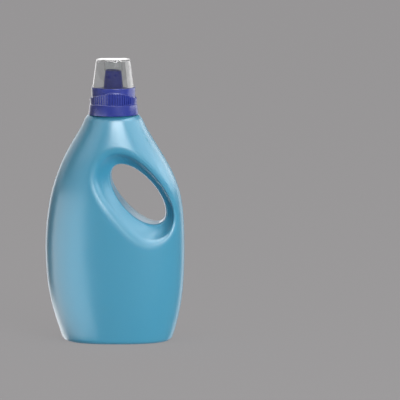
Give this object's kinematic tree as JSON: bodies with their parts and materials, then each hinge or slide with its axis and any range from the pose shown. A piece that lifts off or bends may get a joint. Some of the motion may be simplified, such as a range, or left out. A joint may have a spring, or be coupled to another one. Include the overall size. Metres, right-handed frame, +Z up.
{
  "type": "laundry detergent bottle",
  "caption": "Blow-moulded detergent bottle with a through handle, a ribbed screw collar, a pouring spout and a clear push-on dosing cap.",
  "frame": {"origin": "on the base plane, under the middle of the bottle's widest part", "axes": "+Z up along the neck, +X towards the handle, -Y towards the front"},
  "size_m": [0.143, 0.091, 0.2908],
  "materials": {
    "bottle": "semi-gloss blow-moulded",
    "closure": "semi-gloss moulded",
    "clear_cap": "clear polished"
  },
  "bodies": {
    "bottle": {"bottle": "bottle"},
    "spout": {"spout": "closure"},
    "collar": {"collar": "closure"},
    "dosing_cap": {"dosing_cap": "clear_cap"}
  },
  "joints": [
    {"name": "collar_lift", "type": "slide", "parent": "bottle", "child": "spout", "axis": [0, 0, 1], "range_m": [0, 0.005]},
    {"name": "collar_turn", "type": "hinge", "parent": "spout", "child": "collar", "pos_m": [-0.0011, 0, 0.248], "axis": [0, 0, 1], "range_deg": [0, 450]},
    {"name": "cap_lift", "type": "slide", "parent": "collar", "child": "dosing_cap", "axis": [0, 0, 1], "range_m": [0, 0.06]}
  ],
  "couplings": [
    {"joint": "collar_lift", "follows": "collar_turn", "m_per_rad": 0.000636}
  ]
}
